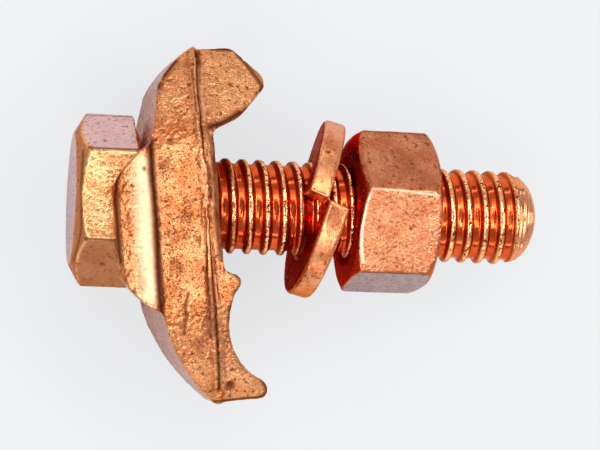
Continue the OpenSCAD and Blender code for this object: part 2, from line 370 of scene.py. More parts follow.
def tap_bore(mesh):
    """Raise a thread on the bore's wall, with its ridge in the groove of the bolt's thread."""
    count = len(mesh.vertices)
    place = np.zeros(count * 3)
    mesh.vertices.foreach_get("co", place)
    place = place.reshape(count, 3)
    from_axis = np.hypot(place[:, 1], place[:, 2])
    turns = (place[:, 0] - FIRST_CREST) / PITCH + np.arctan2(place[:, 1], place[:, 2]) / math.tau
    ridge = 0.5 - 0.5 * np.cos(math.tau * turns)
    wall = np.clip((BORE_R + RIDGE_FADE - from_axis) / RIDGE_FADE, 0, 1)
    place[:, 1:] *= (1 - ridge * wall * NUT_RIDGE / from_axis)[:, None]
    mesh.vertices.foreach_set("co", place.reshape(-1))
    mesh.update()


def tint_sides(mesh, name, sides):
    """Note a tint on faces: each entry is a direction, the cosine band to it, and the share of tint."""
    count = len(mesh.vertices)
    normal = np.zeros(count * 3)
    mesh.vertices.foreach_get("normal", normal)
    normal = normal.reshape(count, 3)
    tint = np.zeros(count)
    for direction, least, most, share in sides:
        way = np.array(direction) / np.linalg.norm(direction)
        facing = normal @ way
        over_least = np.clip((facing - least) / TINT_FADE, 0, 1)
        under_most = np.clip((most - facing) / TINT_FADE, 0, 1)
        tint = np.maximum(tint, over_least * under_most * share)
    mesh.attributes.new(name, "FLOAT", "POINT").data.foreach_set("value", tint)


def run_tree(name, mesh, tree, values):
    """Run a geometry tree on a mesh and return the plain mesh that it makes."""
    holder = bpy.data.objects.new(name, mesh)
    bpy.context.collection.objects.link(holder)
    modifier = holder.modifiers.new(name, "NODES")
    modifier.node_group = tree
    for item in tree.interface.items_tree:
        if item.name in values:
            modifier[item.identifier] = values[item.name]
    graph = bpy.context.evaluated_depsgraph_get()
    result = bpy.data.meshes.new_from_object(holder.evaluated_get(graph))
    bpy.data.objects.remove(holder)
    return result


def new_tree(name, sizes, counts):
    """Empty geometry tree with named inputs and one material input."""
    tree = bpy.data.node_groups.new(name, "GeometryNodeTree")
    tree.interface.new_socket("Geometry", in_out="INPUT", socket_type="NodeSocketGeometry")
    for size in sizes:
        tree.interface.new_socket(size, in_out="INPUT", socket_type="NodeSocketFloat")
    for count in counts:
        tree.interface.new_socket(count, in_out="INPUT", socket_type="NodeSocketInt")
    tree.interface.new_socket("Material", in_out="INPUT", socket_type="NodeSocketMaterial")
    tree.interface.new_socket("Geometry", in_out="OUTPUT", socket_type="NodeSocketGeometry")
    return tree, add(tree, "NodeGroupInput").outputs


def screw_thread_tree():
    """A round bar whose surface winds up as a screw thread and ends in a turned dome."""
    sizes = ("Start", "Straight", "Radius", "Depth", "Pitch", "First crest", "Dome length", "Dome radius",
             "Run-out", "Burr", "Ring")
    tree, given = new_tree("screw_thread", sizes, ("Rows", "Columns"))
    calc = "ShaderNodeMath"
    around = add(tree, calc, {"operation": "ADD"}, {0: given["Columns"], 1: 1.0})
    sheet = add(tree, "GeometryNodeMeshGrid", inputs={"Size X": 1.0, "Size Y": 1.0})
    tree.links.new(given["Rows"], sheet.inputs["Vertices X"])
    tree.links.new(around.outputs[0], sheet.inputs["Vertices Y"])
    # The sheet is a unit square around the origin: X runs along the bar, Y once around it.
    flat_place = add(tree, "ShaderNodeSeparateXYZ", inputs={0: add(tree, "GeometryNodeInputPosition")})
    share = add(tree, calc, {"operation": "ADD"}, {0: flat_place.outputs["X"], 1: 0.5})
    turn = add(tree, calc, {"operation": "ADD"}, {0: flat_place.outputs["Y"], 1: 0.5})
    angle = add(tree, calc, {"operation": "MULTIPLY"}, {0: turn, 1: math.tau})

    # Walk along the bar: straight, then over the dome to the axis.
    arc_length = add(tree, calc, {"operation": "MULTIPLY"}, {0: given["Dome radius"], 1: DOME_WALK})
    whole = add(tree, calc, {"operation": "ADD"}, {0: given["Straight"], 1: arc_length})
    walk = add(tree, calc, {"operation": "MULTIPLY"}, {0: share, 1: whole})
    straight_part = add(tree, calc, {"operation": "MINIMUM"}, {0: walk, 1: given["Straight"]})
    past = add(tree, calc, {"operation": "SUBTRACT"}, {0: walk, 1: straight_part})
    over = add(tree, calc, {"operation": "DIVIDE"}, {0: past, 1: arc_length})
    bend = add(tree, calc, {"operation": "MULTIPLY"}, {0: over, 1: math.pi / 2})
    reach = add(tree, calc, {"operation": "SINE"}, {0: bend})
    along = add(tree, calc, {"operation": "MULTIPLY_ADD"},
                {0: reach, 1: given["Dome length"], 2: straight_part})
    x = add(tree, calc, {"operation": "ADD"}, {0: along, 1: given["Start"]})
    fall = add(tree, calc, {"operation": "COSINE"}, {0: bend})
    dome = add(tree, calc, {"operation": "MULTIPLY"}, {0: fall, 1: given["Dome radius"]})
    near_dome = add(tree, calc, {"operation": "SUBTRACT"}, {0: given["Straight"], 1: straight_part})
    blank = add(tree, calc, {"operation": "ADD"}, {0: dome, 1: near_dome})

    # Thread form over one pitch: the crest is at the middle, the rounded root at both ends.
    from_crest = add(tree, calc, {"operation": "SUBTRACT"}, {0: x, 1: given["First crest"]})
    turns = add(tree, calc, {"operation": "DIVIDE"}, {0: from_crest, 1: given["Pitch"]})
    wound = add(tree, calc, {"operation": "ADD"}, {0: turns, 1: turn})
    centred = add(tree, calc, {"operation": "ADD"}, {0: wound, 1: 0.5})
    phase = add(tree, calc, {"operation": "FRACT"}, {0: centred})
    form = add(tree, "ShaderNodeFloatCurve", inputs={"Value": phase})
    points = form.mapping.curves[0].points
    points[0].location = (0.0, 0.0)
    points[1].location = (1.0, 0.0)
    for spot, height in THREAD_FORM:
        points.new(spot, height)
        points.new(1 - spot, height)
    form.mapping.update()
    grown = add(tree, "ShaderNodeMapRange", {"interpolation_type": "SMOOTHSTEP"},
                {"Value": along, "From Min": 0.0, "From Max": given["Run-out"]})
    hollow = add(tree, calc, {"operation": "SUBTRACT"}, {0: 1.0, 1: form})
    cut = add(tree, calc, {"operation": "MULTIPLY"}, {0: hollow, 1: grown})
    groove = add(tree, calc, {"operation": "MULTIPLY"}, {0: cut, 1: given["Depth"]})
    threaded = add(tree, calc, {"operation": "SUBTRACT"}, {0: given["Radius"], 1: groove})
    radius = add(tree, calc, {"operation": "MINIMUM"}, {0: threaded, 1: blank})

    # Torn metal on the crests and fine turned rings on the dome.
    side = add(tree, calc, {"operation": "SINE"}, {0: angle})
    up = add(tree, calc, {"operation": "COSINE"}, {0: angle})
    across = add(tree, calc, {"operation": "MULTIPLY"}, {0: side, 1: given["Radius"]})
    above = add(tree, calc, {"operation": "MULTIPLY"}, {0: up, 1: given["Radius"]})
    spot = add(tree, "ShaderNodeCombineXYZ", inputs={0: x, 1: across, 2: above})
    torn = add(tree, "ShaderNodeTexNoise", inputs={"Vector": spot, "Scale": 1 / TEAR_SIZE, "Detail": 2.0})
    uneven = add(tree, calc, {"operation": "SUBTRACT"}, {0: torn, 1: TEAR_LEVEL})
    crest = add(tree, calc, {"operation": "POWER"}, {0: form, 1: CREST_POWER})
    burr = add(tree, calc, {"operation": "MULTIPLY"}, {0: uneven, 1: crest})
    ragged = add(tree, calc, {"operation": "MULTIPLY_ADD"}, {0: burr, 1: given["Burr"], 2: radius})
    open_end = add(tree, calc, {"operation": "GREATER_THAN"}, {0: walk, 1: 0.0})
    on_axis = add(tree, calc, {"operation": "GREATER_THAN"}, {0: blank, 1: AXIS_GAP})
    ring_turn = add(tree, calc, {"operation": "MULTIPLY"}, {0: past, 1: math.tau / RING_STEP})
    ring = add(tree, calc, {"operation": "SINE"}, {0: ring_turn})
    lift = add(tree, calc, {"operation": "MULTIPLY"}, {0: ring, 1: given["Ring"]})
    ringed = add(tree, calc, {"operation": "MULTIPLY_ADD"}, {0: lift, 1: reach, 2: x})
    swollen = add(tree, calc, {"operation": "MULTIPLY_ADD"}, {0: lift, 1: fall, 2: ragged})
    closed = add(tree, calc, {"operation": "MULTIPLY"}, {0: swollen, 1: open_end})
    final_r = add(tree, calc, {"operation": "MULTIPLY"}, {0: closed, 1: on_axis})

    y = add(tree, calc, {"operation": "MULTIPLY"}, {0: side, 1: final_r})
    z = add(tree, calc, {"operation": "MULTIPLY"}, {0: up, 1: final_r})
    place = add(tree, "ShaderNodeCombineXYZ", inputs={0: ringed, 1: y, 2: z})
    slope = add(tree, calc, {"operation": "MULTIPLY"}, {0: form, 1: hollow})
    geometry = sheet.outputs["Mesh"]
    for title, value in (("crest", crest), ("flank", slope), ("turned", over)):
        geometry = add(tree, "GeometryNodeStoreNamedAttribute", {"data_type": "FLOAT", "domain": "POINT"},
                       {"Geometry": geometry, "Name": title, "Value": value})
    wrapped = add(tree, "GeometryNodeSetPosition", inputs={"Geometry": geometry, "Position": place})
    joined = add(tree, "GeometryNodeMergeByDistance", inputs={"Geometry": wrapped, "Distance": MERGE_GAP})
    smooth = add(tree, "GeometryNodeSetShadeSmooth", inputs={"Geometry": joined})
    real = add(tree, "GeometryNodeRealizeInstances", inputs={"Geometry": smooth})
    painted = add(tree, "GeometryNodeSetMaterial", inputs={"Geometry": real, "Material": given["Material"]})
    add(tree, "NodeGroupOutput", inputs={0: painted})
    return tree


def tumbled_skin_tree():
    """Uneven skin of a forged and tumbled piece: swells, grain and pits, with edges marked."""
    sizes = ("Swell size", "Swell", "Grain size", "Grain", "Pit spacing", "Pit depth", "Pit share", "Seed")
    tree, given = new_tree("tumbled_skin", sizes, ("Edge width",))
    calc = "ShaderNodeMath"
    move = "ShaderNodeVectorMath"
    place = add(tree, "GeometryNodeInputPosition")
    normal = add(tree, "GeometryNodeInputNormal")

    swell_scale = add(tree, calc, {"operation": "DIVIDE"}, {0: 1.0, 1: given["Swell size"]})
    swell = add(tree, "ShaderNodeTexNoise", {"noise_dimensions": "4D"},
                {"Vector": place, "W": given["Seed"], "Scale": swell_scale, "Detail": 1.0})
    swell_mid = add(tree, calc, {"operation": "SUBTRACT"}, {0: swell, 1: NOISE_MID})
    swell_up = add(tree, calc, {"operation": "MULTIPLY"}, {0: swell_mid, 1: given["Swell"]})

    grain_scale = add(tree, calc, {"operation": "DIVIDE"}, {0: 1.0, 1: given["Grain size"]})
    grain = add(tree, "ShaderNodeTexNoise", {"noise_dimensions": "4D"},
                {"Vector": place, "W": given["Seed"], "Scale": grain_scale, "Detail": 2.0})
    grain_mid = add(tree, calc, {"operation": "SUBTRACT"}, {0: grain, 1: NOISE_MID})
    height = add(tree, calc, {"operation": "MULTIPLY_ADD"}, {0: grain_mid, 1: given["Grain"], 2: swell_up})

    pit_scale = add(tree, calc, {"operation": "DIVIDE"}, {0: 1.0, 1: given["Pit spacing"]})
    cells = add(tree, "ShaderNodeTexVoronoi", {"voronoi_dimensions": "4D"},
                {"Vector": place, "W": given["Seed"], "Scale": pit_scale})
    pit = add(tree, "ShaderNodeMapRange", {"interpolation_type": "SMOOTHSTEP"},
              {"Value": cells.outputs["Distance"], "From Min": PIT_RIM, "From Max": PIT_FLOOR})
    chosen = add(tree, "FunctionNodeSeparateColor", inputs={0: cells.outputs["Color"]})
    some = add(tree, calc, {"operation": "LESS_THAN"}, {0: chosen.outputs[0], 1: given["Pit share"]})
    pits = add(tree, calc, {"operation": "MULTIPLY"}, {0: pit.outputs[0], 1: some})
    sunk = add(tree, calc, {"operation": "MULTIPLY"}, {0: pits, 1: given["Pit depth"]})
    level = add(tree, calc, {"operation": "SUBTRACT"}, {0: height, 1: sunk})
    offset = add(tree, move, {"operation": "SCALE"}, {0: normal, "Scale": level})

    around = add(tree, "GeometryNodeBlurAttribute", {"data_type": "FLOAT_VECTOR"})
    tree.links.new(place.outputs[0], around.inputs["Value"])
    tree.links.new(given["Edge width"], around.inputs["Iterations"])
    apart = add(tree, move, {"operation": "SUBTRACT"}, {0: place, 1: around})
    proud = add(tree, move, {"operation": "DOT_PRODUCT"}, {0: apart, 1: normal})

    marked = add(tree, "GeometryNodeStoreNamedAttribute", {"data_type": "FLOAT", "domain": "POINT"},
                 {"Geometry": given["Geometry"], "Name": "proud", "Value": proud.outputs["Value"]})
    pitted = add(tree, "GeometryNodeStoreNamedAttribute", {"data_type": "FLOAT", "domain": "POINT"},
                 {"Geometry": marked, "Name": "pit", "Value": pits})
    moved = add(tree, "GeometryNodeSetPosition", inputs={"Geometry": pitted, "Offset": offset})
    smooth = add(tree, "GeometryNodeSetShadeSmooth", inputs={"Geometry": moved})
    real = add(tree, "GeometryNodeRealizeInstances", inputs={"Geometry": smooth})
    painted = add(tree, "GeometryNodeSetMaterial", inputs={"Geometry": real, "Material": given["Material"]})
    add(tree, "NodeGroupOutput", inputs={0: painted})
    return tree


def hand_over(name, meshes, body, node):
    """Join meshes in mm to one piece in metres and let it ride on its body."""
    whole = bmesh.new()
    materials = []
    for mesh in meshes:
        finish = [material for material in mesh.materials if material][0]
        materials.append(finish)
        first = len(whole.faces)
        whole.from_mesh(mesh)
        whole.faces.ensure_lookup_table()
        for face in whole.faces[first:]:
            face.material_index = len(materials) - 1
    whole.transform(Matrix.Scale(MM, 4))
    result = bpy.data.meshes.new(name)
    whole.to_mesh(result)
    whole.free()
    for material in materials:
        result.materials.append(material)
    piece = bpy.data.objects.new(name, result)
    bpy.context.collection.objects.link(piece)
    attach(piece, body)
    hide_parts(node)


# Finishes

def new_finish(name):
    """Empty material whose patterns are measured in mm on the piece."""
    material = bpy.data.materials.new(name)
    material.use_nodes = True
    tree = material.node_tree
    tree.nodes.clear()
    place = add(tree, "ShaderNodeTexCoord")
    mm = add(tree, "ShaderNodeMapping", inputs={"Vector": place.outputs["Object"], "Scale": (1 / MM,) * 3})
    return material, tree, mm


def tumbled_copper(name, tones, specks, rough, relief, grain, stretch=1.0, graze=WARM_GRAZE):
    """Copper alloy, forged, pressed or drawn and then tumbled; relief and grain are in mm."""
    # Tumbling gives a satin skin: clouds of paler and deeper copper, dark grit left in the hollows,
    # and edges of another tone: paler with wear, and a painted shade on the head. A pixel of the photo
    # covers about 0.08 mm, so the grain of tumbling is drawn coarser than it is, to show.
    cloud_size = 1.6
    grit_size = 0.34
    field_size = 2.4
    pit_dirt = 0.85
    edge_share = 0.5
    grit_rougher = 0.12
    grit_smoother = 0.08
    highlight_and_wear_rougher = 0.2
    darkening_rougher = 0.25
    shade = {title: linear(code) for title, code in tones.items()}
    material, tree, mm = new_finish(name)
    calc = "ShaderNodeMath"
    spread = "ShaderNodeMapRange"
    blend = {"data_type": "RGBA"}

    cloud = add(tree, "ShaderNodeTexNoise", inputs={"Vector": mm, "Scale": 1 / cloud_size, "Detail": 4.0})
    tone = add(tree, "ShaderNodeValToRGB", inputs={"Fac": cloud})
    for stop, level, title in zip(tone.color_ramp.elements, (0.36, 0.64), ("low", "high")):
        stop.position = level
        stop.color = shade[title]

    # Painted sheen: a reflection painted into the colour of a side seen at a low angle.
    painted_sheen = add(tree, "ShaderNodeAttribute", {"attribute_name": "painted_sheen"})
    facing = add(tree, "ShaderNodeLayerWeight", inputs={"Blend": 0.5})
    low_sight = add(tree, spread,
                    inputs={"Value": facing.outputs["Facing"], "From Min": 0.3, "From Max": 0.65})
    sheen = add(tree, calc, {"operation": "MULTIPLY"}, {0: painted_sheen.outputs["Fac"], 1: low_sight})
    dulled = add(tree, "ShaderNodeMix", blend, {0: sheen, 6: tone, 7: shade["painted_sheen"]})
    # Painted light and shade: faces lighter or darker by the way they look, with a reflection tint of their
    # own.
    painted_shading = add(tree, "ShaderNodeAttribute", {"attribute_name": "painted_shading"})
    with_painted_shading = add(tree, "ShaderNodeMix", blend,
                  {0: painted_shading.outputs["Fac"], 6: dulled.outputs[2], 7: shade["painted_shading"]})
    proud = add(tree, "ShaderNodeAttribute", {"attribute_name": "proud"})
    edge = add(tree, spread, inputs={"Value": proud.outputs["Fac"], "From Min": 0.03, "From Max": 0.12,
                                     "To Max": edge_share})
    shine = add(tree, "ShaderNodeAttribute", {"attribute_name": "painted_highlight_and_wear"})
    edged = add(tree, "ShaderNodeMix", blend, {0: edge, 6: with_painted_shading.outputs[2], 7: shade["edge"]})
    painted_highlight_and_wear = add(tree, "ShaderNodeMix", blend,
                 {0: shine.outputs["Fac"], 6: edged.outputs[2], 7: shade["wear_and_highlight"]})

    # Dark grit, pits, and the darkening of the marks, most of it painted shade.
    grit = add(tree, "ShaderNodeTexNoise", inputs={"Vector": mm, "Scale": 1 / grit_size, "Detail": 2.5})
    dark = add(tree, spread, inputs={"Value": grit, "From Min": 0.40, "From Max": 0.34})
    pit = add(tree, "ShaderNodeAttribute", {"attribute_name": "pit"})
    sunk = add(tree, calc, {"operation": "MULTIPLY"}, {0: pit.outputs["Fac"], 1: pit_dirt})
    bare = add(tree, spread, inputs={"Value": shine.outputs["Fac"], "To Min": specks, "To Max": 0.0})
    speck = add(tree, calc, {"operation": "MULTIPLY"}, {0: dark, 1: bare.outputs[0]})
    spotted = add(tree, calc, {"operation": "MAXIMUM"}, {0: speck, 1: sunk})
    shade_and_darkening = add(tree, "ShaderNodeAttribute", {"attribute_name": "shade_and_darkening"})
    darkened = add(tree, calc, {"operation": "MAXIMUM"}, {0: spotted, 1: shade_and_darkening.outputs["Fac"]})
    colour = add(tree, "ShaderNodeMix", blend, {0: darkened, 6: painted_highlight_and_wear.outputs[2], 7: shade["dark"]})

    # Grain, livelier in some fields than in others, and flatter on the marks of painted highlight and wear.
    drawn = add(tree, "ShaderNodeMapping", inputs={"Vector": mm, "Scale": (1.0, stretch, stretch)})
    fine = add(tree, "ShaderNodeTexNoise", inputs={"Vector": drawn, "Scale": 1 / grain, "Detail": 2.0})
    field = add(tree, "ShaderNodeTexNoise", inputs={"Vector": mm, "Scale": 1 / field_size, "Detail": 1.0})
    uneven = add(tree, spread, inputs={"Value": field, "From Min": 0.38, "From Max": 0.62,
                                       "To Min": 0.35, "To Max": 1.0})
    left = add(tree, spread, inputs={"Value": shine.outputs["Fac"], "To Min": 1.0, "To Max": 0.3})
    strength = add(tree, calc, {"operation": "MULTIPLY"}, {0: uneven, 1: left})
    bump = add(tree, "ShaderNodeBump",
               inputs={"Height": fine, "Strength": strength, "Distance": relief * MM})

    # Reflections at a grazing angle, tinted where sheen, light and shade are painted, and roughness.
    warm = add(tree, "ShaderNodeMix", blend, {0: sheen, 6: linear(WARM_GRAZE), 7: linear(PAINTED_SHEEN_GRAZE)})
    grazing = add(tree, "ShaderNodeMix", blend,
                  {0: painted_shading.outputs["Fac"], 6: warm.outputs[2], 7: linear(graze)})
    gloss = add(tree, spread, inputs={"Value": grit, "From Min": 0.3, "From Max": 0.7,
                                      "To Min": rough + grit_rougher, "To Max": rough - grit_smoother})
    # Roughness rises on the marks of painted highlight and wear, and on the darkened ones.
    matt = add(tree, calc, {"operation": "MULTIPLY"}, {0: shine.outputs["Fac"], 1: highlight_and_wear_rougher})
    wear_and_highlight = add(tree, calc, {"operation": "ADD"}, {0: gloss.outputs[0], 1: matt})
    dull = add(tree, calc, {"operation": "MULTIPLY_ADD"},
               {0: shade_and_darkening.outputs["Fac"], 1: darkening_rougher, 2: wear_and_highlight})
    surface = add(tree, "ShaderNodeBsdfPrincipled",
                  inputs={"Base Color": colour.outputs[2], "Metallic": 1.0, "Roughness": dull,
                          "Normal": bump, "Specular Tint": grazing.outputs[2]})
    add(tree, "ShaderNodeOutputMaterial", inputs={"Surface": surface})
    return material


def rolled_copper():
    """Copper alloy with a rolled thread; sizes and reliefs are in mm."""
    # Rolling gives smooth burnished flanks, deeper and redder than the forged skin, and torn crests.
    # Its lines are finer than a pixel of the photo, so they are drawn coarser, to show.
    cloud_size = 1.2
    patch_size = 0.32
    fine_size = 0.3
    line_size = 0.11
    line_stretch = 0.08
    fine_relief = 0.01
    torn_relief = 0.05
    line_relief = 0.016
    steep = 0.25
    material, tree, mm = new_finish("rolled_thread_copper")
    spread = "ShaderNodeMapRange"
    blend = {"data_type": "RGBA"}
    cloud = add(tree, "ShaderNodeTexNoise", inputs={"Vector": mm, "Scale": 1 / cloud_size, "Detail": 3.0})
    tone = add(tree, "ShaderNodeValToRGB", inputs={"Fac": cloud})
    torn = add(tree, "ShaderNodeTexNoise", inputs={"Vector": mm, "Scale": 1 / patch_size, "Detail": 3.0})
    patch = add(tree, "ShaderNodeValToRGB", inputs={"Fac": torn})
    dome = add(tree, "ShaderNodeAttribute", {"attribute_name": "turned"})
    sawn = add(tree, "ShaderNodeValToRGB", inputs={"Fac": dome.outputs["Fac"]})
    for ramp, levels, codes in ((tone, (0.3, 0.7), ("#C8421C", "#E86634")),
                                (patch, (0.37, 0.44), ("#6A2A12", "#FFBE82")),
                                (sawn, (0.6, 0.85), ("#E49C70", "#8A4628"))):
        for stop, level, code in zip(ramp.color_ramp.elements, levels, codes):
            stop.position = level
            stop.color = linear(code)

    crest = add(tree, "ShaderNodeAttribute", {"attribute_name": "crest"})
    flank = add(tree, "ShaderNodeAttribute", {"attribute_name": "flank"})
    # Painted shade: the steep flanks are darker.
    flank_shade = add(tree, spread, inputs={"Value": flank.outputs["Fac"], "From Max": steep, "To Max": 0.8})
    shaded = add(tree, "ShaderNodeMix", blend, {0: flank_shade, 6: tone, 7: linear("#8E4220")})
    # The crests' pale tone is torn metal and partly a painted highlight.
    topped = add(tree, "ShaderNodeMix", blend, {0: crest.outputs["Fac"], 6: shaded.outputs[2], 7: patch})
    on_dome = add(tree, spread, inputs={"Value": dome.outputs["Fac"], "From Min": 0.02, "From Max": 0.1})
    spot = add(tree, "ShaderNodeSeparateXYZ", inputs={0: mm})
    # Painted shadow of the clamp on the thread beside it.
    clamp_shadow = add(tree, spread, inputs={"Value": spot.outputs["X"], "From Min": CLAMP_SHADOW_END,
                                          "From Max": CLAMP_SHADOW_END - CLAMP_SHADOW_FADE, "To Max": 0.5})
    shadowed_thread = add(tree, "ShaderNodeMix", blend, {0: clamp_shadow, 6: topped.outputs[2], 7: linear("#7A1E0C")})
    colour = add(tree, "ShaderNodeMix", blend, {0: on_dome, 6: shadowed_thread.outputs[2], 7: sawn})
    gloss = add(tree, spread, inputs={"Value": flank.outputs["Fac"], "From Max": steep,
                                      "To Min": 0.13, "To Max": 0.3})

    # Rolled lines around the thread, and a ragged skin on its crests.
    fine = add(tree, "ShaderNodeTexNoise", inputs={"Vector": mm, "Scale": 1 / fine_size, "Detail": 2.0})
    ragged = add(tree, spread, inputs={"Value": crest.outputs["Fac"],
                                       "To Min": fine_relief * MM, "To Max": torn_relief * MM})
    wound = add(tree, "ShaderNodeMapping",
                inputs={"Vector": mm, "Scale": (1.0, line_stretch, line_stretch)})
    streak = add(tree, "ShaderNodeTexNoise",
                 inputs={"Vector": wound, "Scale": 1 / line_size, "Detail": 1.0})
    off_dome = add(tree, "ShaderNodeMath", {"operation": "SUBTRACT"}, {0: 1.0, 1: on_dome})
    lines = add(tree, "ShaderNodeBump",
                inputs={"Height": streak, "Strength": off_dome, "Distance": line_relief * MM})
    bump = add(tree, "ShaderNodeBump", inputs={"Height": fine, "Strength": 1.0,
                                               "Distance": ragged.outputs[0], "Normal": lines})
    surface = add(tree, "ShaderNodeBsdfPrincipled",
                  inputs={"Base Color": colour.outputs[2], "Metallic": 1.0, "Roughness": gloss.outputs[0],
                          "Normal": bump, "Specular Tint": linear("#FFD2BE")})
    add(tree, "ShaderNodeOutputMaterial", inputs={"Surface": surface})
    return material


# Paths on the clamp's near side, along pixels of the photo
PARTING_CREASE = (
    (197, 49), (197.2, 55), (198.2, 69), (199, 83), (200, 97), (202.3, 111), (203, 125), (204.2, 139),
    (206, 153), (208, 167), (209.2, 181), (210, 195), (210, 209), (211.3, 223), (212.2, 237),
    (213.2, 251), (214, 265), (214.3, 279), (215.5, 293), (216.8, 307), (217.6, 321), (218.6, 335),
    (219.5, 349), (220.2, 363), (221, 377), (220.5, 391))
# The flash stands this many pixels to the right of the crease, from this point of the crease down.
FLASH_OFFSET = 3.2
FLASH_START = 2
FLASH_RIDGE = tuple((u + FLASH_OFFSET, v) for u, v in PARTING_CREASE[FLASH_START:])
LOW_FLASH_LINE = (
    (204.5, 209), (206, 223), (205.5, 237), (206, 251), (206, 265), (205.5, 279), (206.5, 293),
    (207.5, 307), (208, 321), (209, 335), (211, 340))
HIGH_FLASH_LINE = ((191.5, 69), (193, 83), (194.5, 97), (196, 111))
LOW_FLASH = ((209.5, 279), (211, 293), (211.5, 307), (212.5, 321), (214, 335))
WEB_EDGE = ((212.5, 140), (214.5, 180), (216, 200), (217, 220), (219, 240), (221, 256))
FOOT_UNDER = ((210, 127), (220, 124), (230, 119), (240, 112.5))
FOOT_RIM = (
    (199, 48.8), (215, 49.3), (230, 50.2), (234, 51), (246.5, 65), (255.5, 77), (262, 86), (258.5, 96),
    (249.5, 106), (241, 113))
HOOK_RIM = (
    (213, 401.5), (222, 401), (240, 399), (255, 397.5), (263, 395.5), (266.5, 391), (265.5, 386),
    (261, 379))
NUB_RIM = ((229, 272), (236, 275), (239.5, 279), (240, 284), (238, 289), (234, 294))
GROOVE_RIM = (
    (231, 302), (229.5, 311), (229, 320), (230.5, 335), (235, 348), (243, 360), (252, 370), (260, 377))
BACK_BEVEL = (
    (187, 49), (176, 59), (165.5, 72), (159, 82), (154.5, 100), (152.3, 117), (150.4, 138),
    (151.2, 171), (153.4, 190), (155.4, 217), (157, 246), (158, 268), (160, 300), (162.5, 324),
    (169.6, 342), (176.6, 360), (185, 374), (195.5, 389), (204, 397))
FOLD = ((188.4, 293), (185.5, 305.5), (186.7, 317), (185, 326), (184.3, 335))
HOOK_PIT = ((230, 384), (231, 387))
EAR_EDGE = ((133, 155), (124, 164.5), (116.5, 182), (115.5, 203), (117.5, 225), (119, 250), (121, 262))
EAR_STRIP = ((143, 165), (144, 200), (146, 240), (149, 280), (151, 296))

# Marks: path, half width and depth in mm, darkening, mostly painted shade, and painted highlight with wear,
# from 0 to 1
# On the clamp the dark rims of the foot, hook, nub and groove, the web's edge, the foot's underside and the
# ear's edge are painted shade, and the crease, flash lines, back bevel, fold and pit are darkened grooves.
# The ear strip's pale tone is a painted highlight on a worn face.
CLAMP_MARKS = ((PARTING_CREASE, 0.34, 0.30, 1.0, 0.0), (FLASH_RIDGE, 0.2, -0.04, 0.0, 0.25),
               (LOW_FLASH_LINE, 0.17, 0.14, 0.9, 0.0), (HIGH_FLASH_LINE, 0.17, 0.12, 0.8, 0.0),
               (LOW_FLASH, 0.42, 0.0, 0.65, 0.0), (WEB_EDGE, 0.6, 0.0, 0.85, 0.0),
               (FOOT_UNDER, 0.55, 0.0, 1.0, 0.0), (FOOT_RIM, 0.36, 0.0, 0.9, 0.0),
               (HOOK_RIM, 0.36, 0.0, 0.9, 0.0), (NUB_RIM, 0.36, 0.0, 0.8, 0.0),
               (GROOVE_RIM, 0.32, 0.0, 0.85, 0.0), (BACK_BEVEL, 0.6, 0.08, 1.0, 0.0),
               (FOLD, 0.2, 0.16, 1.0, 0.0), (HOOK_PIT, 0.5, 0.2, 0.9, 0.0),
               (EAR_EDGE, 0.45, 0.0, 0.9, 0.0), (EAR_STRIP, 1.3, 0.0, 0.0, 1.0))

# Paths and marks on the bolt's head
HEAD_TOP_EDGE = ((88.8, 147.3), (137.9, 149.7))
HEAD_LOW_EDGE = ((84.5, 238.8), (114.8, 240.3))
HEAD_CHAMFER_EDGE = ((83, 151), (81.5, 190), (81.6, 229), (78, 245), (73, 262), (75, 283))
HEAD_BACK_EDGE = ((86, 115), (100, 115.5), (133, 117))
# The head's dark edge lines are painted shade.
HEAD_MARKS = ((HEAD_TOP_EDGE, 0.28, 0.04, 0.9, 0.0), (HEAD_LOW_EDGE, 0.28, 0.04, 0.9, 0.0),
              (HEAD_CHAMFER_EDGE, 0.3, 0.0, 0.7, 0.0), (HEAD_BACK_EDGE, 0.2, 0.0, 0.7, 0.0))

# Paths and marks on the nut
NUT_LEFT_EDGE = ((372, 188), (365.8, 206), (361.7, 230.7), (361.7, 247), (363, 262))
NUT_TOP_EDGE = ((373, 188), (400, 190), (441, 196))
NUT_LOW_EDGE = ((362, 272), (400, 273.5), (433, 274.5))
NUT_RIM = ((358, 131.5), (400, 133), (428, 134.5), (438, 155), (442, 185), (443, 225), (437, 262))
NUT_CORNER = ((360, 140), (363, 160), (372, 187))
# On the nut the pale left and top edges are painted highlights, and the dark low edge, rim and corner are
# painted shade.
NUT_MARKS = ((NUT_LEFT_EDGE, 0.2, 0.0, 0.0, 1.0), (NUT_TOP_EDGE, 0.16, 0.0, 0.0, 0.6),
             (NUT_LOW_EDGE, 0.15, 0.02, 0.85, 0.0), (NUT_RIM, 0.16, 0.0, 0.6, 0.0),
             (NUT_CORNER, 0.16, 0.0, 0.5, 0.0))

# Tints: the way a face looks, least and most cosine to that way, and share of the tint
# Painted sheen: reflections painted on sides seen at a low angle. Painted light and shade: the clamp's
# tilted ends are painted lighter; the head's low flat, chamfer and end, the washer's and nut's faces toward
# the head and the nut's top flat are painted darker.
CLAMP_BACK_WAYS = (-1.2, -0.7, -0.3, 0, 0.3, 0.7, 1.2)
CLAMP_PAINTED_SHEEN = tuple(((-1, side, 0), 0.93, NO_EDGE, 0.6) for side in CLAMP_BACK_WAYS)
CLAMP_PAINTED_LIGHT = (((0.05, 0.58, 0.81), 0.96, NO_EDGE, 0.6), ((0.17, -0.6, 0.78), 0.96, NO_EDGE, 0.6))
HEAD_PAINTED_SHEEN = (((0, 0.85, 0.53), 0.93, NO_EDGE, 0.85), ((-1, 0, 0), 0.95, NO_EDGE, 0.95))
HEAD_PAINTED_SHADE = (((0, -0.87, 0.5), 0.93, NO_EDGE, 0.7), ((-1, 0, 0), 0.78, 0.95, 0.7),
              ((-1, 0, 0), 0.93, NO_EDGE, 0.25))
